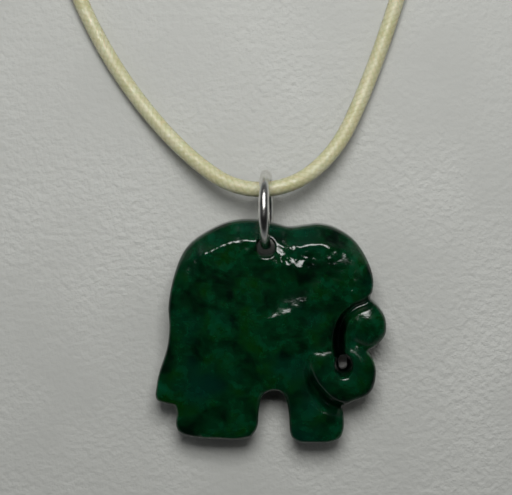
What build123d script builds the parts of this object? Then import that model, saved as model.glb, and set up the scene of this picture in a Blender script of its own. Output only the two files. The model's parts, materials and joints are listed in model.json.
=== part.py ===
"""Flat jade elephant on a silver ring and a waxed cord, laid on its back with the cord coiled. Millimetres."""

from build123d import *
from math import asin, atan2, cos, degrees, pi, radians, sin, tan
import os

os.makedirs("parts", exist_ok=True)

# Driving dimensions
STONE_THICK = 4.4
FOOT_Y = -17.32  # row Y of the feet's back edge
HOLE_X, HOLE_HIGH = -0.6, 25.3  # the drilled hole, measured across and up from the feet
HOLE_R, HOLE_SINK_R = 1.3, 2.3
RING_R, RING_WIRE_R = 4.5, 0.7  # centre line of the wire and the wire itself
RING_YAW = 4.0
CORD_R = 1.0
GAP = 0.05  # clearance between pieces that touch but move

COIL_X, COIL_Y = -5.5, 58.0
COIL_IN, COIL_OUT, COIL_HIGH = 8.2, 13.2, 4.1

CAP_R, CAP_LONG, CAP_DEEP = 1.6, 6.0, 5.0
LOOP_R, LOOP_HOLE_R, LOOP_THICK = 1.25, 0.65, 0.8
JUMP_R, JUMP_WIRE_R = 1.65, 0.35
CLASP_THICK, CLASP_EDGE = 2.8, 0.35
LINK_R, LINK_HALF, LINK_WIRE_R = 1.15, 0.55, 0.3
LINKS, LINK_PITCH, LINK_BEND = 9, 2.4, 15.0

# The ring stands on edge, so its centre is one outer radius up. The stone leans on the ring's wire
# where the wire passes through the hole, and its feet rest on the surface.
ring_z = RING_R + RING_WIRE_R
lean = asin((ring_z - STONE_THICK / 2) / HOLE_HIGH)
stone_plane = Plane(origin=(0, FOOT_Y, 0), x_dir=(1, 0, 0), z_dir=(0, -sin(lean), cos(lean)))
wire_high = HOLE_HIGH + HOLE_R - RING_WIRE_R - GAP
ring_y = FOOT_Y + wire_high * cos(lean) - STONE_THICK / 2 * sin(lean) + RING_R


def write(part, label):
    """Name a finished piece and write its file."""
    part.label = label
    export_step(part, f"parts/{label}.step")


def heading(angle):
    """Unit vector in the surface, by its angle from +X."""
    return Vector(cos(radians(angle)), sin(radians(angle)), 0)


def rolled(plane, roll):
    """The plane turned about its own X."""
    normal = plane.z_dir * cos(radians(roll)) - plane.y_dir * sin(radians(roll))
    return Plane(origin=plane.origin, x_dir=plane.x_dir, z_dir=normal)


# ---------------------------------------------------------------- jade carving
# Side view of an elephant walking to the right, head down and trunk curled back under its chin.
with BuildPart(stone_plane) as elephant_carving:
    with BuildSketch(stone_plane):
        with BuildLine():
            # tail and rump, then the back
            Spline((-14.95, 6.4), (-14.5, 9.0), (-13.3, 13.0), (-13.2, 18.0), (-12.2, 22.6), (-10.2, 26.0),
                   (-6.3, 28.4), (-2.6, 28.95), (1.4, 28.2))
            # head and forehead
            Spline((1.4, 28.2), (3.0, 28.0), (6.2, 28.4), (9.9, 27.1), (12.4, 24.2), (13.25, 20.9),
                   (12.9, 18.65))
            # rolled end of the trunk
            ThreePointArc((12.9, 18.65), (14.95, 15.2), (12.55, 12.0))
            # trunk's curl, back to the front leg
            Spline((12.55, 12.0), (13.6, 9.6), (12.9, 6.7), (10.8, 5.5), (9.3, 4.6))
            # front foot
            Spline((9.3, 4.6), (9.55, 2.4), (9.0, 0.7), (7.7, 0.05))
            Line((7.7, 0.05), (3.8, 0.05))
            # arch between the legs
            Spline((3.8, 0.05), (2.5, 1.4), (2.3, 4.4), (0.5, 6.9), (-1.2, 5.9), (-1.6, 3.0), (-2.6, 0.65))
            # hind foot and tail tip
            Line((-2.6, 0.65), (-10.6, 0.85))
            Spline((-10.6, 0.85), (-12.1, 1.9), (-12.2, 4.6), (-13.4, 5.15), (-14.95, 6.4))
        make_face()
    extrude(amount=STONE_THICK)
    # the drilled hole is sunk from both faces, so that the ring can curve through it
    with BuildSketch(stone_plane.offset(STONE_THICK / 2)):
        with Locations((HOLE_X, HOLE_HIGH)):
            Circle(HOLE_R)
    extrude(amount=STONE_THICK, both=True, mode=Mode.SUBTRACT)
    for face_high in (0, STONE_THICK):
        with BuildSketch(stone_plane.offset(face_high)):
            with Locations((HOLE_X, HOLE_HIGH)):
                Circle(HOLE_SINK_R)
        with BuildSketch(stone_plane.offset(STONE_THICK / 2)):
            with Locations((HOLE_X, HOLE_HIGH)):
                Circle(HOLE_R)
        loft(mode=Mode.SUBTRACT)
    # sunk ear
    with BuildSketch(stone_plane.offset(STONE_THICK)):
        with BuildLine():
            Line((-0.6, 23.6), (-0.6, 16.9))
            Spline((-0.6, 16.9), (2.0, 17.0), (5.8, 19.9), (7.2, 23.6))
            Line((7.2, 23.6), (2.2, 23.2))
            Line((2.2, 23.2), (-0.6, 23.6))
        make_face()
    extrude(amount=-0.7, mode=Mode.SUBTRACT)
    # cut between the face and the rolled trunk, ending in a drilled pit
    with BuildSketch(stone_plane.offset(STONE_THICK)):
        with BuildLine():
            cut_line = FilletPolyline((13.6, 18.9), (9.2, 17.2), (8.8, 10.6), radius=2.5)
        trace(cut_line, 0.8)
    extrude(amount=-2.4, mode=Mode.SUBTRACT)
    with BuildSketch(stone_plane.offset(STONE_THICK)):
        with Locations((9.4, 10.2)):
            Circle(1.1)
    extrude(amount=-2.4, mode=Mode.SUBTRACT)
    with BuildSketch(stone_plane.offset(STONE_THICK)):
        with Locations((9.5, 10.1)):
            Circle(0.5)
    extrude(amount=-STONE_THICK, mode=Mode.SUBTRACT)
    # cut between the trunk and the front leg
    with BuildSketch(stone_plane.offset(STONE_THICK)):
        with BuildLine():
            leg_line = FilletPolyline((5.0, 12.8), (5.0, 7.8), (8.6, 4.3), radius=3.0)
        trace(leg_line, 1.1)
    extrude(amount=-1.3, mode=Mode.SUBTRACT)
write(elephant_carving.part, "elephant_carving")

# ---------------------------------------------------------------- silver ring
ring_plane = Plane(
    origin=(HOLE_X, ring_y, ring_z),
    x_dir=(0, 1, 0),
    z_dir=(cos(radians(RING_YAW)), 0, sin(radians(RING_YAW))),
)
with BuildPart(ring_plane) as bail_ring:
    with BuildSketch(Plane(origin=ring_plane.origin, x_dir=ring_plane.x_dir, z_dir=ring_plane.y_dir)):
        with Locations((RING_R, 0)):
            Circle(RING_WIRE_R)
    revolve(axis=Axis(ring_plane.origin, ring_plane.z_dir), revolution_arc=360)
write(bail_ring.part, "bail_ring")

# ---------------------------------------------------------------- cord
# Route of the stretch that isn't coiled: out of the coil, down to the ring, through it and back.
front_route = [
    (-15.9, 64.3, 1.0),
    (-19.6, 60.0, 1.0),
    (-25.0, 53.2, 1.0),
    (-27.1, 45.1, 1.0),
    (-22.7, 35.0, 1.0),
    (-16.9, 26.2, 1.1),
    (-10.3, 19.1, 2.9),
    (-4.2, 15.0, 4.8),
    (3.0, 15.5, 4.8),
    (8.7, 20.3, 3.0),
    (12.5, 28.4, 1.1),
    (15.9, 37.8, 1.0),
    (18.4, 46.4, 1.0),
    (16.6, 54.4, 1.3),
    (10.0, 60.9, 2.7),
    (4.9, 65.0, 3.1),
]
# Both ends come out of the middle of the coil, cross over it and lie side by side beyond it.
clasp_tail_route = [
    (-0.9, 50.4, 1.0),
    (-6.3, 50.5, 1.3),
    (-10.3, 53.4, 2.8),
    (-11.8, 58.4, 5.3),
    (-12.0, 70.6, 5.3),
    (-12.3, 76.0, 1.6),
    (-12.9, 80.4, 1.6),
]
chain_tail_route = [
    (-10.1, 50.4, 3.4),
    (-4.7, 50.5, 3.9),
    (-0.7, 53.4, 4.7),
    (0.8, 58.4, 5.3),
    (1.0, 70.6, 5.3),
    (1.3, 76.0, 1.6),
    (1.8, 80.4, 1.6),
]


def corner_radii(route):
    """The largest arc that each corner's two runs allow."""
    points = [Vector(*point) for point in route]
    radii = []
    for before, corner, after in zip(points, points[1:], points[2:]):
        turn = radians((corner - before).get_angle(after - corner))
        shorter = min((corner - before).length, (after - corner).length)
        radii.append(0.45 * shorter / tan(turn / 2))
    return radii


def cord_tube(route, label):
    """A round tube along straight runs joined by arcs."""
    radii = corner_radii(route)
    with BuildPart() as tube:
        with BuildLine():
            path = FilletPolyline(*route, radius=radii)
        with BuildSketch(Plane(origin=path @ 0, z_dir=path % 0)):
            Circle(CORD_R)
        sweep(path=path)
    section = pi * CORD_R**2
    print(label, "radii", [round(radius, 1) for radius in radii])
    print(label, "length", round(path.length, 1), "volume ratio", tube.part.volume / section / path.length)
    write(tube.part, label)


cord_tube(front_route, "cord_front")
cord_tube(clasp_tail_route, "cord_clasp_tail")
cord_tube(chain_tail_route, "cord_chain_tail")

with BuildPart() as cord_coil:
    with BuildSketch(Plane(origin=(COIL_X, COIL_Y, 0), x_dir=(1, 0, 0), z_dir=(0, -1, 0))):
        with Locations(((COIL_IN + COIL_OUT) / 2, COIL_HIGH / 2)):
            RectangleRounded(COIL_OUT - COIL_IN, COIL_HIGH, CORD_R)
    revolve(axis=Axis((COIL_X, COIL_Y, 0), (0, 0, 1)), revolution_arc=360)
write(cord_coil.part, "cord_coil")


# ---------------------------------------------------------------- cord ends
def end_plane(route):
    """Where a tail ends: X onwards along the surface, Z up."""
    last, before = Vector(*route[-1]), Vector(*route[-2])
    angle = degrees(atan2(last.Y - before.Y, last.X - before.X))
    return angle, Plane(origin=last, x_dir=heading(angle), z_dir=(0, 0, 1))


def cord_end(plane, roll, label):
    """A turned cap over the cord's end, with a flat loop on its nose."""
    loop_plane = rolled(plane, roll)
    cross = Plane(origin=plane.origin, z_dir=plane.x_dir)
    with BuildPart() as cap:
        with BuildSketch(cross.offset(-CAP_DEEP / 2)):
            Circle(CAP_R)
        extrude(amount=CAP_LONG)
        fillet(cap.edges().filter_by(GeomType.CIRCLE), radius=0.3)
        with BuildSketch(cross.offset(-CAP_DEEP / 2)):
            Circle(CORD_R)
        extrude(amount=CAP_DEEP / 2, mode=Mode.SUBTRACT)
        with BuildSketch(loop_plane.offset(-LOOP_THICK / 2)):
            with Locations((loop_at, 0)):
                Circle(LOOP_R)
            with Locations((loop_at - LOOP_R, 0)):
                Rectangle(LOOP_R, LOOP_THICK)
        extrude(amount=LOOP_THICK)
        with BuildSketch(loop_plane.offset(-LOOP_THICK / 2)):
            with Locations((loop_at, 0)):
                Circle(LOOP_HOLE_R)
        extrude(amount=LOOP_THICK, mode=Mode.SUBTRACT)
    write(cap.part, label)


loop_at = CAP_LONG - CAP_DEEP / 2 + LOOP_R + 0.3
clasp_angle, clasp_end = end_plane(clasp_tail_route)
chain_angle, chain_end = end_plane(chain_tail_route)
cord_end(clasp_end, 0, "clasp_cord_end")
cord_end(chain_end, -45, "chain_cord_end")

# ---------------------------------------------------------------- jump ring and lobster clasp
jump_z = JUMP_R + JUMP_WIRE_R
jump_x = loop_at + 1.55  # the wire runs through the cap's loop
jump_centre = clasp_end.from_local_coords(Vector(jump_x, 0, jump_z - CAP_R))
with BuildPart() as clasp_jump_ring:
    with BuildSketch(Plane(origin=jump_centre, x_dir=clasp_end.x_dir, z_dir=(0, 0, 1))):
        with Locations((JUMP_R, 0)):
            Circle(JUMP_WIRE_R)
    revolve(axis=Axis(jump_centre, clasp_end.y_dir), revolution_arc=360)
write(clasp_jump_ring.part, "clasp_jump_ring")

EYE_R, EYE_HOLE_R = 1.3, 0.7
HOOK_X, HOOK_LONG, HOOK_WIDE = 6.6, 4.7, 3.3  # centre and half sizes of the hook's outline
MOUTH_IN, MOUTH_OUT = 4.9, 9.0
PIVOT = (3.7, 1.5)
RIVET_R, RIVET_CLEAR = 0.4, 0.05
SLOT_LOW, SLOT_HIGH = 0.6, 2.2
LEVER_LOW, LEVER_THICK = 0.7, 0.9
eye_x = jump_x + 1.475  # the wire runs through the clasp's eye
clasp_plane = Plane(
    origin=clasp_end.from_local_coords(Vector(eye_x, 0, -CAP_R)),
    x_dir=clasp_end.x_dir,
    z_dir=(0, 0, 1),
)
with BuildPart() as clasp_body:
    with BuildSketch(clasp_plane):
        with Locations((HOOK_X, 0)):
            Ellipse(HOOK_LONG, HOOK_WIDE)
        with Locations((HOOK_X + 0.3, 0)):
            Ellipse(3.2, 1.9, mode=Mode.SUBTRACT)
        with Locations(((MOUTH_IN + MOUTH_OUT) / 2, 2.1)):
            Rectangle(MOUTH_OUT - MOUTH_IN, 3.0, mode=Mode.SUBTRACT)
    extrude(amount=CLASP_THICK)
    flat_faces = clasp_body.faces().filter_by(Axis.Z)
    chamfer(flat_faces.edges(), length=CLASP_EDGE)
    with BuildSketch(clasp_plane.offset(CLASP_THICK / 2 - LOOP_THICK / 2)):
        Circle(EYE_R)
        with Locations((1.6, 0)):
            Rectangle(1.8, 1.6)
        Circle(EYE_HOLE_R, mode=Mode.SUBTRACT)
    extrude(amount=LOOP_THICK)
    with BuildSketch(clasp_plane.offset(SLOT_LOW)):
        with Locations((4.1, 1.75)):
            Rectangle(2.6, 4.1)
    extrude(amount=SLOT_HIGH - SLOT_LOW, mode=Mode.SUBTRACT)
    with BuildSketch(clasp_plane):
        with Locations(PIVOT):
            Circle(RIVET_R)
    extrude(amount=CLASP_THICK, mode=Mode.SUBTRACT)
write(clasp_body.part, "clasp_body")

with BuildPart() as clasp_lever:
    with BuildSketch(clasp_plane.offset(LEVER_LOW)):
        with BuildLine():
            Polyline((3.3, 0.9), (5.2, 0.95), (8.6, 1.6), (8.75, 2.4), (5.2, 2.5), (4.4, 3.9), (3.3, 4.1),
                     (3.05, 1.3), close=True)
        make_face()
        with Locations(PIVOT):
            Circle(RIVET_R + RIVET_CLEAR, mode=Mode.SUBTRACT)
    extrude(amount=LEVER_THICK)
write(clasp_lever.part, "clasp_lever")

with BuildPart() as clasp_rivet:
    with BuildSketch(clasp_plane):
        with Locations(PIVOT):
            Circle(RIVET_R)
    extrude(amount=CLASP_THICK)
write(clasp_rivet.part, "clasp_rivet")

# torsion spring: two turns of fine wire round the rivet, over the lever
SPRING_R, SPRING_WIRE_R, SPRING_PITCH = 0.62, 0.09, 0.2
spring_centre = clasp_plane.from_local_coords(Vector(*PIVOT, LEVER_LOW + LEVER_THICK + 0.12))
with BuildPart() as clasp_spring:
    with BuildLine():
        spring_line = Helix(pitch=SPRING_PITCH, height=2 * SPRING_PITCH, radius=SPRING_R, center=spring_centre)
    with BuildSketch(Plane(origin=spring_line @ 0, z_dir=spring_line % 0)):
        Circle(SPRING_WIRE_R)
    sweep(path=spring_line, is_frenet=True)
write(clasp_spring.part, "clasp_spring")

# ---------------------------------------------------------------- extender chain
# Oval links at right angles to each other, each leaning half a right angle on the surface. The chain
# curves round to the right of the cord's end.
link_z = LINK_R * sin(radians(45)) + LINK_WIRE_R + 0.01
link_points = []
link_at = chain_end.from_local_coords(Vector(loop_at + LINK_HALF + LINK_R, 0, 0))
link_heading = chain_angle
for index in range(LINKS):
    drop = max(0.0, 0.4 - 0.2 * index)
    link_points.append((Vector(link_at.X, link_at.Y, link_z + drop), link_heading))
    link_heading -= LINK_BEND
    link_at = link_at + heading(link_heading + LINK_BEND / 2) * LINK_PITCH

with BuildPart() as extender_chain:
    for index, (centre, angle) in enumerate(link_points):
        roll = 45 if index % 2 == 0 else -45
        link_plane = rolled(Plane(origin=centre, x_dir=heading(angle), z_dir=(0, 0, 1)), roll)
        with BuildLine(link_plane):
            Line((-LINK_HALF, LINK_R), (LINK_HALF, LINK_R))
            ThreePointArc((LINK_HALF, LINK_R), (LINK_HALF + LINK_R, 0), (LINK_HALF, -LINK_R))
            Line((LINK_HALF, -LINK_R), (-LINK_HALF, -LINK_R))
            ThreePointArc((-LINK_HALF, -LINK_R), (-LINK_HALF - LINK_R, 0), (-LINK_HALF, LINK_R))
        section_at = link_plane.from_local_coords(Vector(-LINK_HALF, LINK_R, 0))
        with BuildSketch(Plane(origin=section_at, z_dir=link_plane.x_dir)):
            Circle(LINK_WIRE_R)
        sweep()
write(extender_chain.part, "extender_chain")

# ---------------------------------------------------------------- drop on the last link
DROP_R, DROP_START, DROP_END = 1.1, 0.95, 4.5
last_roll = 45 if LINKS % 2 == 0 else -45
last_centre, last_angle = link_points[-1]
drop_plane = Plane(
    origin=last_centre + heading(last_angle) * (LINK_HALF + LINK_R),
    x_dir=heading(last_angle),
    z_dir=(0, 0, 1),
)
drop_cross = Plane(origin=drop_plane.origin, z_dir=drop_plane.x_dir)
with BuildPart() as chain_drop:
    with BuildSketch(rolled(drop_plane, last_roll).offset(-LINK_WIRE_R)):
        Circle(LOOP_R)
        Circle(LOOP_HOLE_R, mode=Mode.SUBTRACT)
    extrude(amount=2 * LINK_WIRE_R)
    with BuildSketch(drop_cross.offset(DROP_START)):
        Circle(LINK_WIRE_R)
    with BuildSketch(drop_cross.offset(DROP_END)):
        Circle(DROP_R)
    loft()
    with Locations(Location(drop_cross.offset(DROP_END).origin)):
        Sphere(DROP_R)
write(chain_drop.part, "chain_drop")

print("stone leans", round(degrees(lean), 2), "ring centre", round(ring_y, 3), round(ring_z, 3))
print("clasp eye", clasp_plane.origin, "clasp angle", round(clasp_angle, 3))
print("clasp pivot", clasp_plane.from_local_coords(Vector(*PIVOT, CLASP_THICK / 2)))
print("drilled hole", stone_plane.from_local_coords(Vector(HOLE_X, HOLE_HIGH, STONE_THICK / 2)))
print("back face", stone_plane.from_local_coords(Vector(0, 14, 0)), stone_plane.z_dir)
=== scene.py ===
import json
import math

import bpy
import numpy as np
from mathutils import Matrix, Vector


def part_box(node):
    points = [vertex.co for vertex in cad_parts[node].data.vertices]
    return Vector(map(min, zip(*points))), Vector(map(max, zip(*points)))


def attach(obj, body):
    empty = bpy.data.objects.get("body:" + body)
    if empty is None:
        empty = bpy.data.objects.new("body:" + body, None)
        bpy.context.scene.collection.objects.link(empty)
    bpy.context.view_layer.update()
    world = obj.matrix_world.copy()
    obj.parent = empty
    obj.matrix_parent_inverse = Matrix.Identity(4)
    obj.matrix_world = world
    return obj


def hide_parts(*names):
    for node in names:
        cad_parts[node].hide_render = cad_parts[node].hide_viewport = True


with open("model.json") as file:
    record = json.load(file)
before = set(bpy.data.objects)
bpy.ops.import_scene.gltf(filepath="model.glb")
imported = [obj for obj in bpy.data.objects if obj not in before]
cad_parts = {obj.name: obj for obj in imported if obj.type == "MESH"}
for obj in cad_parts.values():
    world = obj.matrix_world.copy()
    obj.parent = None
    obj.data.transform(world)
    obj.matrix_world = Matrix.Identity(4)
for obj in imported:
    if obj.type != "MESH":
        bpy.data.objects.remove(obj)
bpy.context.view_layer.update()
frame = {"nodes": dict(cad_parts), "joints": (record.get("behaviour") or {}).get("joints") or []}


# ---- Camera and room -------------------------------------------------------------------------------
# The necklace lies on a table and is seen square to the elephant's carved side. One lamp hangs beyond
# the ring. Pale walls far off on both sides fill the shadows, too dull to be mirrored in the polish.
elephant_low, elephant_high = (Vector(corner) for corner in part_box("elephant_carving"))
ring_low, ring_high = (Vector(corner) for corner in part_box("bail_ring"))
elephant_middle = (elephant_low + elephant_high) / 2

view_width = 0.0665
view_distance = 0.3
left_of_middle, below_ring_top = 0.0019, 0.0101
camera_data = bpy.data.cameras.new("camera")
camera_data.lens = camera_data.sensor_width * view_distance / view_width
camera = bpy.data.objects.new("camera", camera_data)
camera.location = (
    elephant_middle.x - left_of_middle,
    ring_high.y - below_ring_top,
    elephant_middle.z + view_distance,
)
bpy.context.collection.objects.link(camera)
bpy.context.scene.camera = camera
bpy.context.scene.view_settings.view_transform = "Standard"


def lamp(name, offset, size, power, tint):
    """A square soft lamp, that far from the elephant's middle, that faces it."""
    data = bpy.data.lights.new(name, "AREA")
    data.shape = "SQUARE"
    data.size = size
    data.energy = power
    data.color = tint
    light = bpy.data.objects.new(name, data)
    light.location = elephant_middle + Vector(offset)
    light.rotation_euler = (elephant_middle - light.location).to_track_quat("-Z", "Y").to_euler()
    bpy.context.collection.objects.link(light)
    return light


wall_size = 0.55
lamp("ceiling_lamp", (0.002, 0.104, 0.185), size=0.115, power=0.375, tint=(1.0, 1.0, 0.985))
left_wall = lamp("left_wall", (-0.38, 0.12, 0.22), wall_size, power=0.34, tint=(0.97, 0.99, 1.0))
right_wall = lamp("right_wall", (0.40, 0.20, 0.22), wall_size, power=0.42, tint=(1.0, 0.99, 0.97))
left_wall.visible_glossy = right_wall.visible_glossy = False


def colour(code):
    """A hex sRGB colour as linear RGBA."""
    parts = [int(code[i : i + 2], 16) / 255 for i in (1, 3, 5)]
    return [p / 12.92 if p <= 0.04045 else ((p + 0.055) / 1.055) ** 2.4 for p in parts] + [1.0]


def add(tree, kind, settings=None, **links):
    """A node. Settings are properties, socket values or a ramp's colour stops; links go to its sockets."""
    made = tree.nodes.new(kind)
    for key, value in (settings or {}).items():
        if key == "stops":
            points = made.color_ramp.elements
            while len(points) < len(value):
                points.new(0.5)
            for point, (position, code) in zip(points, value):
                point.position = position
                point.color = colour(code)
        elif isinstance(key, int) or key in made.inputs:
            made.inputs[key].default_value = value
        else:
            setattr(made, key, value)
    for key, socket in links.items():
        tree.links.new(socket, made.inputs[int(key[1:]) if key[1:].isdigit() else key.replace("_", " ")])
    return made


# The room is dim overhead and pale round the horizon, which the metal's sides mirror.
room_strength = 0.7
room = bpy.data.worlds.new("room")
room.use_nodes = True
bpy.context.scene.world = room
tree = room.node_tree
direction = add(tree, "ShaderNodeSeparateXYZ", Vector=add(tree, "ShaderNodeTexCoord").outputs["Generated"])
height_stops = [(0.0, "#a8acaa"), (0.2, "#6c7070"), (0.42, "#202122"), (1.0, "#0c0d0e")]
heights = add(tree, "ShaderNodeValToRGB", {"stops": height_stops}, Fac=direction.outputs["Z"])
tree.links.new(heights.outputs["Color"], tree.nodes["Background"].inputs["Color"])
tree.nodes["Background"].inputs["Strength"].default_value = room_strength


# ---- Table -----------------------------------------------------------------------------------------
# A table top covered in pale grey leathercloth: vinyl on a cotton backing, pressed between rollers
# that leave a fine pebbled grain.
table_size = 3.0
cloth_grain, grain_depth = 0.0009, 0.0003
cloth_patches = 0.020
bpy.ops.mesh.primitive_plane_add(size=table_size)
table = bpy.context.object
table.name = "table"


def new_material(name, settings):
    """A material, its nodes and its shader, on which the values that are the same all over are set."""
    made = bpy.data.materials.new(name)
    made.use_nodes = True
    shader = made.node_tree.nodes["Principled BSDF"]
    for key, value in settings.items():
        shader.inputs[key].default_value = value
    return made, made.node_tree, shader


# Vinyl, embossed: a matt grey that breaks into tiny soft lights on its pebbles, worn flatter in patches.
embossed_vinyl, tree, shader = new_material("embossed_vinyl", {"Roughness": 0.62, "IOR": 1.53})
place = add(tree, "ShaderNodeTexCoord").outputs["Object"]
patches = add(tree, "ShaderNodeTexNoise", {"Scale": 1 / cloth_patches, "Detail": 3.0}, Vector=place)
grey_stops = [(0.3, "#b3b4b0"), (0.7, "#bfc0bc")]
greys = add(tree, "ShaderNodeValToRGB", {"stops": grey_stops}, Fac=patches.outputs[0])
tree.links.new(greys.outputs["Color"], shader.inputs["Base Color"])
pebbles = add(tree, "ShaderNodeTexNoise", {"Scale": 1 / cloth_grain, "Detail": 3.0, "Roughness": 0.55},
              Vector=place)
worn = add(tree, "ShaderNodeMapRange", {"From Min": 0.35, "From Max": 0.65, "To Min": 0.25, "To Max": 1.0},
           Value=patches.outputs[0])
emboss = add(tree, "ShaderNodeBump", {"Distance": grain_depth}, Height=pebbles.outputs[0],
             Strength=worn.outputs[0])
tree.links.new(emboss.outputs[0], shader.inputs["Normal"])
table.data.materials.append(embossed_vinyl)


# ---- Jade elephant ---------------------------------------------------------------------------------
# A slab of mottled nephrite, sawn to an elephant's outline and carved on its front with wheels: the
# rim bevelled, the ear sunk, the trunk cut free of the face, then drilled through the back and polished.
# It is worked out as a solid field, in millimetres: x towards the trunk, v up from the feet, w out of
# the flat back.
hinge = next(joint for joint in frame["joints"] if joint["name"] == "elephant_swing")
lean = math.atan2(-hinge["axis"][1], hinge["axis"][2])
metre = 1000
thick = 4.4
foot_y = elephant_low.y * metre + thick * math.sin(lean)
hole_x, hole_v = (ring_low.x + ring_high.x) / 2 * metre, 25.5
hole_radius, hole_flare = 1.1, 0.15


def smooth_run(points, per_leg=10):
    """A smooth line through the points."""
    points = [np.array(p, float) for p in points]
    padded = [2 * points[0] - points[1], *points, 2 * points[-1] - points[-2]]
    out = []
    for a, b, c, d in zip(padded, padded[1:], padded[2:], padded[3:]):
        for t in np.arange(per_leg) / per_leg:
            out.append(b + 0.5 * t * (c - a + t * (2 * a - 5 * b + 4 * c - d + t * (3 * (b - c) + d - a))))
    return out + [points[-1]]


back_and_head = [
    (-14.95, 6.4), (-14.5, 9.0), (-13.5, 12.1), (-13.1, 15.0), (-13.2, 18.0), (-12.6, 21.4), (-11.5, 24.4),
    (-9.9, 26.3), (-7.1, 28.0), (-4.4, 28.85), (-1.6, 28.9), (0.7, 28.4), (2.4, 28.0), (4.6, 28.25),
    (6.3, 28.4), (8.4, 27.9), (10.8, 26.3), (12.5, 23.8), (13.25, 21.2), (12.9, 18.65),
]
trunk_end = [(12.9, 18.65), (13.8, 17.95), (14.75, 16.5), (14.9, 14.6), (14.2, 13.3), (12.55, 12.0)]
trunk_curl = [
    (12.55, 12.0), (13.25, 11.0), (13.65, 9.4), (13.3, 7.3), (12.2, 6.05), (10.6, 5.45), (9.35, 4.75),
]
front_foot = [
    (9.35, 4.75), (9.5, 3.4), (9.5, 1.9), (9.0, 0.65), (7.7, 0.1), (5.8, 0.0), (3.8, 0.1), (2.75, 0.75),
]
leg_arch = [
    (2.75, 0.75), (2.5, 1.6), (2.35, 3.7), (2.0, 5.7), (1.2, 6.75), (0.0, 6.85), (-1.1, 6.1), (-1.5, 4.4),
    (-1.7, 2.2), (-2.5, 0.8),
]
hind_foot = [
    (-2.5, 0.8), (-4.2, 0.5), (-7.0, 0.55), (-10.2, 0.8), (-11.8, 1.35), (-12.3, 2.4), (-12.15, 3.9),
    (-12.4, 4.95),
]
tail_tip = [(-12.4, 4.95), (-13.6, 5.2), (-14.7, 5.6), (-14.95, 6.4)]
outline = []
for run in (back_and_head, trunk_end, trunk_curl, front_foot, leg_arch, hind_foot, tail_tip):
    outline += smooth_run(run)[:-1]
outline = np.array(outline)

# The grid that the stone is worked out on, a little bigger than it is on every side.
voxel = 0.12
xs = np.arange(-15.6, 15.6, voxel)
vs = np.arange(-0.6, 29.6, voxel)
ws = np.arange(-0.48, 5.76, voxel)
X, V = np.meshgrid(xs, vs, indexing="ij")


def distance_to(line, closed=False):
    """How far each point of the grid is from a line of points."""
    ends = np.roll(line, -1, axis=0) if closed else line[1:]
    best = np.full(X.shape, 1e9)
    for a, b in zip(line, ends):
        d = b - a
        t = np.clip(((X - a[0]) * d[0] + (V - a[1]) * d[1]) / (d @ d), 0, 1)
        best = np.minimum(best, (X - a[0] - t * d[0]) ** 2 + (V - a[1] - t * d[1]) ** 2)
    return np.sqrt(best)


def inside(line):
    """Which points of the grid a closed line goes round."""
    found = np.zeros(X.shape, bool)
    for a, b in zip(line, np.roll(line, -1, axis=0)):
        if a[1] != b[1]:
            crosses = (a[1] > V) != (b[1] > V)
            found ^= crosses & (X < (b[0] - a[0]) * (V - a[1]) / (b[1] - a[1]) + a[0])
    return found


def step(value, low, high):
    """0 below low, 1 above high, smooth between."""
    t = np.clip((value - low) / (high - low), 0, 1)
    return t * t * (3 - 2 * t)


def bump(x, v, wide, high=None):
    """A round swelling, 1 at its middle."""
    return np.exp(-(((X - x) / wide) ** 2) - ((V - v) / (high or wide)) ** 2)


def groove(points, wide, softness=0.35):
    """1 along a smooth line, 0 outside its width."""
    return 1 - step(distance_to(np.array(smooth_run(points))), wide / 2 - softness / 2, wide / 2 + softness)


rng = np.random.default_rng(7)


def wheel_marks(size, passes):
    """A field of small facets, as a worn carving wheel leaves, between -1 and 1."""
    total = np.zeros(X.shape)
    for _ in range(passes):
        bearing = rng.uniform(0, math.pi)
        length = size * rng.uniform(0.7, 1.6)
        along = X * math.cos(bearing) + V * math.sin(bearing)
        total += np.sin(along * 2 * math.pi / length + rng.uniform(0, 6.3))
    return total / passes


edge = distance_to(outline, closed=True)
edge[~inside(outline)] *= -1

# Belly, head and front foot stand a little proud of the sawn face.
front_face = np.full(X.shape, thick)
front_face += 0.28 * bump(-5.5, 14.0, 7.0) + 0.22 * bump(9.5, 22.0, 4.0) + 0.15 * bump(5.8, 3.0, 2.6)

# A flat bevel is ground round the rim, widest over the back and head, where its crease is crisp.
bevel_slope = 0.77
bevel_wide = 0.35 + 2.0 * step(V, 21.0, 26.5)
bevel_wide += 0.10 * wheel_marks(3.1, 5)
crisp_back = step(X, -9.5, -8.6) * step(-X, 0.9, 1.9)
crisp_head = step(X, 1.6, 2.6) * step(-X, -9.4, -7.6)
crease = 1.0 - 0.86 * np.maximum(crisp_back, 0.8 * crisp_head)
bevel = (bevel_wide - edge + np.hypot(bevel_wide - edge, crease)) / 2
front_face -= bevel_slope * bevel

# The sunk ear hangs from the hole to its rounded tip, with a raised rim on the face side.
ear_sunk, rim_raised = 0.28, 0.08
rim_points = [(7.0, 26.4), (7.45, 24.4), (7.2, 21.6), (5.9, 19.9), (4.2, 18.2), (2.2, 16.9), (0.1, 16.3)]
ear_rim = smooth_run(rim_points)
ear_root = smooth_run([(-0.9, 17.6), (-1.1, 20.5), (-0.6, 23.2), (0.8, 25.0), (3.6, 26.3)])
ear = np.array(ear_rim + ear_root)
in_from_rim = distance_to(ear, closed=True)
in_from_rim[~inside(ear)] *= -1
front_face -= ear_sunk * step(in_from_rim, 0.1, 2.4) * (0.3 + 0.7 * step(X, -1.0, 4.0))
off_rim = distance_to(np.array(ear_rim))
front_face += rim_raised * np.exp(-((off_rim / 0.5) ** 2))
front_face += 0.30 * bump(1.3, 23.4, 0.75, 1.1)

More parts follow.
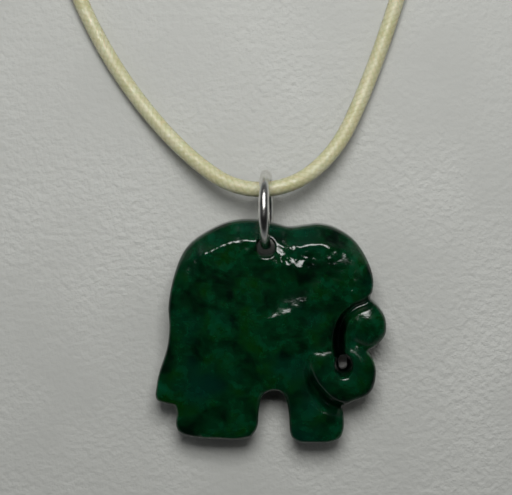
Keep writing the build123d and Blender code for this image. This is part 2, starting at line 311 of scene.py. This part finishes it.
# The wheel left chips in the top of the ear, along its rim, behind the hole and along the crease.
chip_depth = 0.16
ragged = 1 - 2.4 * np.abs(wheel_marks(1.55, 9))
front_face += 0.45 * bump(3.5, 22.8, 1.6)
chips = 1.8 * bump(3.2, 24.3, 2.2, 1.6) + 0.35 * np.exp(-((off_rim / 0.7) ** 2))
chips += 0.5 * bump(-3.3, 25.8, 1.5, 0.8)
chips += 0.3 * np.exp(-(((bevel_wide - edge) / 0.45) ** 2)) * step(V, 22.0, 25.0)
front_face += chip_depth * ragged * np.clip(chips, 0, 1)

# Wrinkles between ear and brow, and a small eye.
wrinkles = (
    [(7.6, 24.9), (8.5, 25.6)],
    [(7.9, 23.9), (8.9, 24.2)],
    [(8.0, 22.9), (9.2, 22.8)],
    [(7.9, 21.9), (8.7, 21.6)],
)
for wrinkle in wrinkles:
    front_face -= 0.05 * groove(wrinkle, 0.2, 0.4)
front_face -= 0.11 * groove([(9.9, 21.5), (10.35, 21.0), (10.45, 20.3)], 0.25, 0.3)
front_face += 0.12 * bump(10.9, 21.0, 0.5)

# A slot is cut between the face and the trunk's rolled end, down into a pit.
slot_points = [(13.9, 19.4), (12.3, 18.3), (10.9, 17.7), (9.5, 16.4), (8.9, 14.6), (8.8, 12.4), (9.0, 11.0)]
off_slot = distance_to(np.array(smooth_run(slot_points)))
slot = np.exp(-((off_slot / (0.55 + 0.1 * bump(8.9, 13.0, 2.0))) ** 4))
slot *= 0.45 + 0.55 * step(-V, -17.2, -14.5)
pit = 1 - step(np.hypot((X - 9.45) / 1.05, (V - 10.2) / 1.35), 0.7, 1.25)

# The trunk is round, down from the cheek, under the pit and up to its rolled end. It has a cut under that
# end and a shallow one where the cheek steps down on to it.
trunk_points = [(7.1, 12.2), (6.9, 10.0), (7.6, 7.9), (9.7, 7.0), (11.6, 8.2), (11.9, 10.2), (11.5, 12.2)]
off_trunk = distance_to(np.array(smooth_run(trunk_points)))
front_face += 0.32 * np.clip(1 - (off_trunk / 2.3) ** 2, 0, 1) * step(-V, -14.0, -10.5)
front_face += 0.45 * np.clip(1 - (np.hypot(X - 12.6, V - 15.4) / 2.6) ** 2, 0, 1)
front_face -= 0.4 * groove([(12.7, 12.1), (11.9, 12.5), (10.9, 13.0)], 0.3, 1.1)
front_face -= 0.08 * groove([(5.0, 12.3), (6.2, 12.1), (7.6, 12.2), (8.3, 12.6)], 0.12, 0.5)

# A deep cut parts the trunk from the front leg. Shallow ones mark the legs, the tail and the hind foot.
leg_cut_depth = 1.2
leg_points = [(4.8, 13.0), (4.8, 10.6), (5.0, 8.7), (5.9, 6.9), (7.2, 5.4), (9.2, 4.3)]
off_leg = distance_to(np.array(smooth_run(leg_points)))
leg_cut = np.exp(-((off_leg / (0.6 + 0.25 * bump(6.8, 5.8, 2.0))) ** 2)) * step(-V, -13.0, -6.0)
front_face -= leg_cut_depth * leg_cut
shallow_cuts = (
    (0.10, [(-0.3, 11.4), (-1.1, 10.0), (-1.9, 8.4), (-2.0, 7.0)], 0.3, 0.9),
    (0.08, [(1.9, 11.2), (1.9, 9.6), (1.2, 8.0)], 0.3, 0.9),
    (0.22, [(-12.2, 13.0), (-12.5, 10.4), (-13.0, 7.6), (-12.4, 5.6)], 0.25, 0.7),
    (0.05, [(-11.8, 2.6), (-8.4, 2.1), (-4.0, 2.1), (-2.4, 2.6)], 0.2, 0.5),
)
for depth, points, wide, softness in shallow_cuts:
    front_face -= depth * groove(points, wide, softness)

# A hand-polished face is faintly wavy.
front_face += 0.035 * wheel_marks(5.5, 7) + 0.03 * wheel_marks(1.9, 11) + 0.02 * wheel_marks(0.9, 11)
recess_depth = 2.7
recess = np.maximum(slot, pit)
front_face -= recess_depth * recess

# The solid: outline, front and back met with rounded edges, then drilled. The drill's hole is flared at
# both ends and worn upwards by the ring, and a small one goes through the pit.
W = ws[None, None, :]
front_edge = (0.28 + 0.12 * step(V, 12.0, 24.0))[:, :, None]
back_edge = np.full_like(front_edge, 0.55)
drilled_edge = np.full_like(front_edge, 0.12)
pit_hole_radius = 0.55


def meet(a, b, radius):
    """The solid that two fields have in common, its edge rounded."""
    rounded = np.hypot(a + radius, b + radius) - radius
    return np.where((a + radius > 0) & (b + radius > 0), rounded, np.maximum(a, b))


side = -edge[:, :, None]
solid = meet(side, W - front_face[:, :, None], front_edge)
solid = meet(solid, -W + np.zeros_like(side), back_edge)
flare = ((ws - thick / 2) / (thick / 2)) ** 2
above_hole = (V - hole_v)[:, :, None]
hole_reach = np.hypot((X - hole_x)[:, :, None], above_hole - np.clip(above_hole, 0, 0.6 * flare))
solid = meet(solid, hole_radius + hole_flare * flare - hole_reach, drilled_edge)
pit_hole = pit_hole_radius - np.hypot(X - 9.4, V - np.clip(V, 9.9, 10.7))[:, :, None] + np.zeros_like(W)
solid = meet(solid, pit_hole, drilled_edge)


def skin(field, start, size):
    """Vertices and quads of the surface where the field is zero."""
    negative = field < 0
    cells = [n - 1 for n in field.shape]
    total = np.zeros((*cells, 3), np.float32)
    count = np.zeros(cells, np.float32)
    for axis in range(3):
        near = [slice(None)] * 3
        far = [slice(None)] * 3
        near[axis], far[axis] = slice(0, -1), slice(1, None)
        f0, f1 = field[tuple(near)], field[tuple(far)]
        cross = negative[tuple(near)] != negative[tuple(far)]
        share = np.where(cross, f0 / np.where(cross, f0 - f1, 1), 0).astype(np.float32)
        others = [k for k in range(3) if k != axis]
        for i in (0, 1):
            for j in (0, 1):
                pick = [slice(None)] * 3
                pick[others[0]] = slice(i, cells[others[0]] + i)
                pick[others[1]] = slice(j, cells[others[1]] + j)
                hit = cross[tuple(pick)]
                count += hit
                total[..., axis] += share[tuple(pick)] * hit
                total[..., others[0]] += i * hit
                total[..., others[1]] += j * hit
    used = count > 0
    number = np.full(cells, -1)
    number[used] = np.arange(used.sum())
    corner = np.stack(np.nonzero(used), axis=1)
    vertices = (corner + total[used] / count[used][:, None]) * size + np.array(start)
    quads = []
    for axis in range(3):
        u, v = (axis + 1) % 3, (axis + 2) % 3
        inner = [slice(1, -1)] * 3
        inner[axis] = slice(0, -1)
        beyond = list(inner)
        beyond[axis] = slice(1, None)
        first, second = negative[tuple(inner)], negative[tuple(beyond)]
        at = np.stack(np.nonzero(first != second), axis=1)
        outward = first[tuple(at.T)]
        at[:, u] += 1
        at[:, v] += 1
        ring = []
        for du, dv in ((0, 0), (-1, 0), (-1, -1), (0, -1)):
            cell = at.copy()
            cell[:, u] += du
            cell[:, v] += dv
            ring.append(number[tuple(cell.T)])
        ring = np.stack(ring, axis=1)
        ring[~outward] = ring[~outward][:, ::-1]
        quads.append(ring)
    return vertices, np.concatenate(quads)


vertices, quads = skin(solid, (xs[0], vs[0], ws[0]), voxel)
placed = np.stack(
    [
        vertices[:, 0],
        foot_y + vertices[:, 1] * math.cos(lean) - vertices[:, 2] * math.sin(lean),
        vertices[:, 1] * math.sin(lean) + vertices[:, 2] * math.cos(lean),
    ],
    axis=1,
) / metre
jade_mesh = bpy.data.meshes.new("jade_elephant")
jade_mesh.from_pydata(placed.tolist(), [], quads.tolist())
jade_mesh.shade_smooth()
jade_elephant = bpy.data.objects.new("jade_elephant", jade_mesh)
bpy.context.collection.objects.link(jade_elephant)
polish = jade_elephant.modifiers.new("polish", "SMOOTH")
polish.factor = 0.5
polish.iterations = 3
bpy.context.view_layer.objects.active = jade_elephant
bpy.ops.object.modifier_apply(modifier=polish.name)

# Painted shade: the deep cuts are darkened where shade falls in them.
columns = ((vertices[:, :2] - (xs[0], vs[0])) / voxel).round().astype(int)
columns = np.clip(columns, 0, np.array(X.shape) - 1)
cuts = np.clip(recess + 0.55 * leg_cut, 0, 1)
sunk = cuts[columns[:, 0], columns[:, 1]] * step(thick - vertices[:, 2], 0.1, 0.9)
residue = jade_mesh.attributes.new("residue", "FLOAT", "POINT")
residue.data.foreach_set("value", sunk.astype(np.float32))

# Nephrite, tumbled to a wet gloss: near-black green with lighter clouds, yellower flecks and a blue cast
# in patches. Its grain is far too fine to see, so it is drawn coarser, as the clouds it gathers in.
cloud_size, crystal_size, fleck_size, blue_patch_size = 0.0034, 0.00085, 0.0036, 0.0065
bend_size, bend_depth = 0.0045, 0.0014
smear_size, scratch_size, scratch_depth = 0.00125, 0.0006, 0.00008
polished_nephrite, tree, shader = new_material(
    "polished_nephrite",
    {"IOR": 1.61, "Subsurface Weight": 0.25, "Subsurface Radius": (0.3, 1.0, 0.6),
     "Subsurface Scale": 0.0008},
)
place = add(tree, "ShaderNodeTexCoord").outputs["Object"]
bend = add(tree, "ShaderNodeTexNoise", {"Scale": 1 / bend_size, "Detail": 2.0}, Vector=place)
bent = add(tree, "ShaderNodeVectorMath", {"operation": "MULTIPLY_ADD", 1: [bend_depth] * 3},
           i0=bend.outputs["Color"], i2=place).outputs[0]
clouds = add(tree, "ShaderNodeTexNoise", {"Scale": 1 / cloud_size, "Detail": 2.0, "Roughness": 0.5},
             Vector=bent)
crystals = add(tree, "ShaderNodeTexNoise", {"Scale": 1 / crystal_size, "Detail": 4.0, "Roughness": 0.6},
               Vector=bent)
mottle = add(tree, "ShaderNodeMix", {"Factor": 0.22}, i2=clouds.outputs[0], i3=crystals.outputs[0])
green_stops = [(0.36, "#001208"), (0.46, "#01230f"), (0.54, "#023018"), (0.65, "#034027")]
green = add(tree, "ShaderNodeValToRGB", {"stops": green_stops}, Fac=mottle.outputs[0])
flecks = add(tree, "ShaderNodeTexNoise", {"Scale": 1 / fleck_size, "Detail": 4.0, "Roughness": 0.65},
             Vector=bent)
fleck_mask = add(tree, "ShaderNodeValToRGB", {"stops": [(0.50, "#000000"), (0.66, "#ffffff")]},
                 Fac=flecks.outputs[0])
yellower = add(tree, "ShaderNodeMix", {"data_type": "RGBA", 7: colour("#042b06")},
               i0=fleck_mask.outputs[0], i6=green.outputs[0])
blue_patches = add(tree, "ShaderNodeTexNoise", {"Scale": 1 / blue_patch_size, "Detail": 2.0}, Vector=place)
blue_mask = add(tree, "ShaderNodeValToRGB", {"stops": [(0.52, "#000000"), (0.80, "#ffffff")]},
                Fac=blue_patches.outputs[0])
bluer = add(tree, "ShaderNodeMix", {"data_type": "RGBA", 7: colour("#022a20")},
            i0=blue_mask.outputs[0], i6=yellower.outputs[2])
# Painted shade: the colour in the deep cuts is mixed towards near-black.
shade_in_cuts = add(tree, "ShaderNodeAttribute", {"attribute_name": "residue"}).outputs["Fac"]
shaded_cuts = add(tree, "ShaderNodeMix", {"data_type": "RGBA", 7: colour("#000402")},
                i0=shade_in_cuts, i6=bluer.outputs[2])
tree.links.new(shaded_cuts.outputs[2], shader.inputs["Base Color"])
smears = add(tree, "ShaderNodeTexNoise", {"Scale": 1 / smear_size, "Detail": 4.0}, Vector=place)
gloss = add(tree, "ShaderNodeMapRange", {"To Min": 0.09, "To Max": 0.20}, Value=smears.outputs[0])
tree.links.new(gloss.outputs[0], shader.inputs["Roughness"])
scratches = add(tree, "ShaderNodeTexNoise", {"Scale": 1 / scratch_size, "Detail": 6.0, "Roughness": 0.62},
                Vector=place)
handling = add(tree, "ShaderNodeBump", {"Strength": 0.5, "Distance": scratch_depth},
               Height=scratches.outputs[0])
tree.links.new(handling.outputs[0], shader.inputs["Normal"])
jade_elephant.data.materials.append(polished_nephrite)

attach(jade_elephant, "elephant")
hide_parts("elephant_carving")


# ---- Silver ring -----------------------------------------------------------------------------------
# The ring that the stone hangs from: round silver wire, drawn, cut from a coil, closed through the
# drilled hole and rubbed bright. It stays the plain shape that it has in the assembly.
mark_depth = 0.00002


def polished_metal(name, pale, dark, roughness, mark_size):
    """A metal with faint tarnish in patches, and handling marks a sixth of their size."""
    made, tree, shader = new_material(name, {"Metallic": 1.0})
    place = add(tree, "ShaderNodeTexCoord").outputs["Object"]
    tarnish = add(tree, "ShaderNodeTexNoise", {"Scale": 1 / mark_size, "Detail": 5.0}, Vector=place)
    tones = add(tree, "ShaderNodeValToRGB", {"stops": [(0.3, dark), (0.62, pale)]}, Fac=tarnish.outputs[0])
    tree.links.new(tones.outputs["Color"], shader.inputs["Base Color"])
    dulled = add(tree, "ShaderNodeMapRange", {"To Min": roughness * 0.6, "To Max": roughness * 1.6},
                 Value=tarnish.outputs[0])
    tree.links.new(dulled.outputs[0], shader.inputs["Roughness"])
    marks = add(tree, "ShaderNodeTexNoise", {"Scale": 6 / mark_size, "Detail": 3.0}, Vector=place)
    rubbed = add(tree, "ShaderNodeBump", {"Strength": 0.15, "Distance": mark_depth}, Height=marks.outputs[0])
    tree.links.new(rubbed.outputs[0], shader.inputs["Normal"])
    return made


def finish_pieces(names, metal):
    """Puts a metal on pieces that keep their own shapes."""
    for name in names:
        frame["nodes"][name].data.materials.clear()
        frame["nodes"][name].data.materials.append(metal)


# Silver, drawn and rubbed: white metal with a clean mirror, a little warm where it has tarnished.
drawn_silver = polished_metal("drawn_silver", "#f4f3f0", "#cfccc6", 0.21, 0.0011)
finish_pieces(["bail_ring"], drawn_silver)


# ---- Cord ------------------------------------------------------------------------------------------
# One length of 2 mm braided cotton cord, waxed. It runs from the clasp's cap through the ring to the
# chain's cap. What isn't worn round the front is wound flat, one end's turns on the other's.
cord_diameter = 0.002
coil_middle = Vector((-0.0055, 0.058, 0))
lower_turns, upper_turns = 0.0010, 0.0030
points_per_turn = 16

clasp_tail = [
    (-0.0129, 0.0804, 0.0016),
    (-0.0123, 0.0760, 0.0016),
    (-0.0120, 0.0706, 0.0053),
    (-0.0118, 0.0584, 0.0053),
    (-0.0103, 0.0534, 0.0028),
    (-0.0063, 0.0505, 0.0013),
    (-0.0009, 0.0504, 0.0010),
]
front = [
    (-0.0159, 0.0643, 0.0010),
    (-0.0196, 0.0600, 0.0010),
    (-0.0250, 0.0532, 0.0010),
    (-0.0271, 0.0451, 0.0010),
    (-0.0227, 0.0350, 0.0010),
    (-0.0169, 0.0262, 0.0011),
    (-0.0103, 0.0191, 0.0029),
    (-0.0042, 0.0150, 0.0048),
    (0.0030, 0.0155, 0.0048),
    (0.0087, 0.0203, 0.0030),
    (0.0125, 0.0284, 0.0011),
    (0.0159, 0.0378, 0.0010),
    (0.0184, 0.0464, 0.0010),
    (0.0166, 0.0544, 0.0013),
    (0.0100, 0.0609, 0.0027),
    (0.0049, 0.0650, 0.0031),
]
chain_tail = [
    (-0.0101, 0.0504, 0.0034),
    (-0.0047, 0.0505, 0.0039),
    (-0.0007, 0.0534, 0.0047),
    (0.0008, 0.0584, 0.0053),
    (0.0010, 0.0706, 0.0053),
    (0.0013, 0.0760, 0.0016),
    (0.0018, 0.0804, 0.0016),
]


def coil_turns(start, end, extra_turns, height):
    """Points of a flat spiral, anticlockwise from the route's last point to its next one."""
    first, last = Vector(start) - coil_middle, Vector(end) - coil_middle
    angle = math.atan2(first.y, first.x)
    sweep = (math.atan2(last.y, last.x) - angle) % (2 * math.pi) + 2 * math.pi * extra_turns
    steps = round(sweep / (2 * math.pi / points_per_turn))
    points = []
    for step in range(1, steps):
        share = step / steps
        radius = first.xy.length * (1 - share) + last.xy.length * share
        bearing = angle + sweep * share
        x, y = coil_middle.x + radius * math.cos(bearing), coil_middle.y + radius * math.sin(bearing)
        points.append((x, y, height))
    return points


route = clasp_tail + coil_turns(clasp_tail[-1], front[0], 1, lower_turns) + front
route += coil_turns(front[-1], chain_tail[0], 1, upper_turns) + chain_tail

line_data = bpy.data.curves.new("cord_line", "CURVE")
line_data.dimensions = "3D"
line_data.resolution_u = 40
spline = line_data.splines.new("NURBS")
spline.points.add(len(route) - 1)
for point, place in zip(spline.points, route):
    point.co = (*place, 1)
spline.order_u = 3
spline.use_endpoint_u = True
cord_line = bpy.data.objects.new("cord_line", line_data)
bpy.context.collection.objects.link(cord_line)
bpy.context.view_layer.update()
line_mesh = bpy.data.meshes.new_from_object(cord_line)
cord_path = np.array([v.co for v in line_mesh.vertices])
bpy.data.objects.remove(cord_line)


def evenly(path, spacing):
    """The path's points again, a fixed distance apart."""
    run = np.concatenate([[0], np.cumsum(np.linalg.norm(np.diff(path, axis=0), axis=1))])
    count = max(2, round(run[-1] / spacing) + 1)
    marks = np.linspace(0, run[-1], count)
    return np.stack([np.interp(marks, run, path[:, k]) for k in range(3)], axis=1), marks


def sweep_frames(path):
    """Two directions across the path at each of its points, without twist."""
    along = np.gradient(path, axis=0)
    along /= np.linalg.norm(along, axis=1, keepdims=True)
    across = np.empty_like(along)
    across[0] = np.cross(along[0], (0.3, 0.2, 1.0))
    across[0] /= np.linalg.norm(across[0])
    for i in range(1, len(along)):
        side = across[i - 1] - along[i] * (across[i - 1] @ along[i])
        across[i] = side / np.linalg.norm(side)
    return across, np.cross(along, across)


def tube(name, path, radii, sides, closed=False):
    """A tube of quads round a path; radii has one radius for each point and side."""
    across, up = sweep_frames(path)
    angles = np.linspace(0, 2 * math.pi, sides, endpoint=False)
    spokes = np.cos(angles)[None, :, None] * across[:, None] + np.sin(angles)[None, :, None] * up[:, None]
    points = (path[:, None] + spokes * radii[:, :, None]).reshape(-1, 3)
    rings = len(path)
    faces = []
    for i in range(rings if closed else rings - 1):
        here, there = i * sides, (i + 1) % rings * sides
        for j in range(sides):
            k = (j + 1) % sides
            faces.append((here + j, here + k, there + k, there + j))
    if not closed:
        faces.append(tuple(reversed(range(sides))))
        faces.append(tuple(range((rings - 1) * sides, rings * sides)))
    mesh = bpy.data.meshes.new(name)
    mesh.from_pydata(points.tolist(), [], faces)
    mesh.shade_smooth()
    made = bpy.data.objects.new(name, mesh)
    bpy.context.collection.objects.link(made)
    return made


# The braid: strands wind both ways round and pass over and under each other.
cord_sides = 48
strands = 6
braid_pitch, strand_relief = 0.0054, 0.022
path, marks = evenly(cord_path, spacing=0.00013)
turn = np.arange(cord_sides)[None, :] / cord_sides * strands
rise = marks[:, None] / braid_pitch * strands
right_hand, left_hand = turn + rise, turn - rise
over = np.floor(right_hand) + np.floor(left_hand)
right_crown = np.abs(np.sin(math.pi * right_hand)) ** 0.6
left_crown = np.abs(np.sin(math.pi * left_hand)) ** 0.6
braid = np.where(over % 2 == 0, right_crown, left_crown) * 0.7 + np.minimum(right_crown, left_crown) * 0.3
cord_radii = cord_diameter / 2 * (1 - strand_relief + strand_relief * braid)
cord = tube("cord", path, cord_radii, cord_sides)
braid_height = cord.data.attributes.new("braid_height", "FLOAT", "POINT")
braid_height.data.foreach_set("value", braid.ravel().astype(np.float32))

# Cotton, braided and waxed: cream, with painted shade that darkens the valleys between the strands. The wax
# has a soft gloss that fibres standing through it break into sparkles; they are drawn coarser than real
# lint.
lint_size, lint_depth = 0.00022, 0.00005
wax_size, wax_depth = 0.0008, 0.0007
grime_size = 0.0029
waxed_cotton, tree, shader = new_material(
    "waxed_cotton",
    {"IOR": 1.45, "Coat Weight": 0.7, "Coat Roughness": 0.15, "Subsurface Weight": 0.15,
     "Subsurface Scale": 0.0006},
)
place = add(tree, "ShaderNodeTexCoord").outputs["Object"]
height = add(tree, "ShaderNodeAttribute", {"attribute_name": "braid_height"}).outputs["Fac"]
# Painted shade: the cream is darker down in the braid's valleys, lighter on the strands' crowns.
shaded_cream_stops = [(0.0, "#b4b28c"), (0.5, "#c2c09c"), (1.0, "#ccc9a9")]
shaded_cream = add(tree, "ShaderNodeValToRGB", {"stops": shaded_cream_stops}, Fac=height)
grime = add(tree, "ShaderNodeTexNoise", {"Scale": 1 / grime_size, "Detail": 4.0}, Vector=place)
aged_stops = [(0.35, "#e6e4c8"), (0.65, "#ffffff")]
aged = add(tree, "ShaderNodeValToRGB", {"stops": aged_stops}, Fac=grime.outputs[0])
handled = add(tree, "ShaderNodeMix", {"data_type": "RGBA", "blend_type": "MULTIPLY", 0: 0.6},
              i6=shaded_cream.outputs[0], i7=aged.outputs[0])
tree.links.new(handled.outputs[2], shader.inputs["Base Color"])
wax = add(tree, "ShaderNodeTexNoise", {"Scale": 1 / wax_size, "Detail": 2.0}, Vector=place)
gloss_range = {"From Min": 0.35, "From Max": 0.65, "To Min": 0.24, "To Max": 0.60}
wax_gloss = add(tree, "ShaderNodeMapRange", gloss_range, Value=wax.outputs[0])
tree.links.new(wax_gloss.outputs[0], shader.inputs["Roughness"])
lint = add(tree, "ShaderNodeTexNoise", {"Scale": 1 / lint_size, "Detail": 3.0}, Vector=place)
fuzz = add(tree, "ShaderNodeBump", {"Strength": 0.7, "Distance": lint_depth}, Height=lint.outputs[0])
tree.links.new(fuzz.outputs[0], shader.inputs["Normal"])
wax_film = add(tree, "ShaderNodeBump", {"Strength": 0.8, "Distance": wax_depth}, Height=wax.outputs[0])
tree.links.new(wax_film.outputs[0], shader.inputs["Coat Normal"])
cord.data.materials.append(waxed_cotton)

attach(cord, "necklace")
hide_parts("cord_front", "cord_coil", "cord_clasp_tail", "cord_chain_tail")


# ---- Clasp, chain and cord ends --------------------------------------------------------------------
# The findings that close the necklace: turned brass caps glued over the cord's ends, a lobster clasp on
# a small ring, and a short chain with a drop, all plated. A spring of fine steel wire shuts the lever.
# Rhodium plate on cast and turned brass: a cooler white than silver, slightly frosted by the casting.
rhodium_plate = polished_metal("rhodium_plate", "#c4c4c3", "#8f9092", 0.42, 0.0009)
# Steel, drawn to spring wire: grey and only half bright, from the die and from drawing soap.
spring_wire = polished_metal("spring_wire", "#a6a7aa", "#77787c", 0.30, 0.0005)
finish_pieces(["clasp_cord_end", "chain_cord_end", "clasp_jump_ring"], rhodium_plate)
finish_pieces(["clasp_body", "clasp_lever", "clasp_rivet", "extender_chain", "chain_drop"], rhodium_plate)
finish_pieces(["clasp_spring"], spring_wire)
